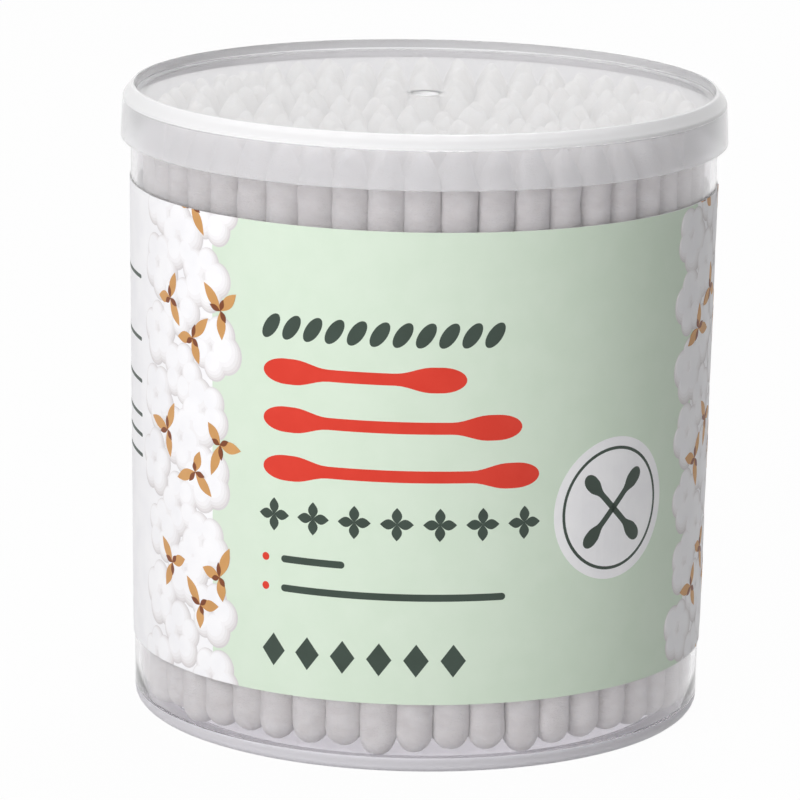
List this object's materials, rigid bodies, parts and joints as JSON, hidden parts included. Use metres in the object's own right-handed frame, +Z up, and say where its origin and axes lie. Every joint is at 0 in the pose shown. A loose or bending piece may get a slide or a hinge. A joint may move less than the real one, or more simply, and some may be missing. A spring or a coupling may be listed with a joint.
{
  "type": "cotton swab drum",
  "caption": "Round clear drum with a lift-off frosted lid and a wrap label, filled with paper-stem cotton swabs that stand on end in rings; it stores and dispenses the swabs.",
  "frame": {"origin": "centre of the base, on the surface that the drum stands on", "axes": "+Z up along the drum's axis; the middle of the label's front faces about -Y"},
  "size_m": [0.077, 0.077, 0.08],
  "materials": {
    "clear_tub": "clear, polished",
    "frosted_lid": "hazy, satin",
    "printed_label": "satin coated print, mint green",
    "cotton": "soft wound cotton",
    "stem_paper": "matt rolled paper"
  },
  "bodies": {
    "tub": {"tub": "clear_tub", "label": "printed_label", "upper_heads_ring_1": "cotton", "upper_heads_ring_2": "cotton", "upper_heads_ring_3": "cotton", "upper_heads_ring_4": "cotton", "upper_heads_ring_5": "cotton", "upper_heads_ring_6": "cotton", "upper_heads_ring_7": "cotton", "upper_heads_ring_8": "cotton", "paper_stems_ring_1": "stem_paper", "paper_stems_ring_2": "stem_paper", "paper_stems_ring_3": "stem_paper", "paper_stems_ring_4": "stem_paper", "paper_stems_ring_5": "stem_paper", "paper_stems_ring_6": "stem_paper", "paper_stems_ring_7": "stem_paper", "paper_stems_ring_8": "stem_paper", "lower_heads_ring_1": "cotton", "lower_heads_ring_2": "cotton", "lower_heads_ring_3": "cotton", "lower_heads_ring_4": "cotton", "lower_heads_ring_5": "cotton", "lower_heads_ring_6": "cotton", "lower_heads_ring_7": "cotton", "lower_heads_ring_8": "cotton"},
    "lid": {"lid": "frosted_lid"}
  },
  "joints": [
    {"name": "lid_lift", "type": "slide", "parent": "tub", "child": "lid", "axis": [0, 0, 1], "range_m": [0, 0.03]}
  ]
}
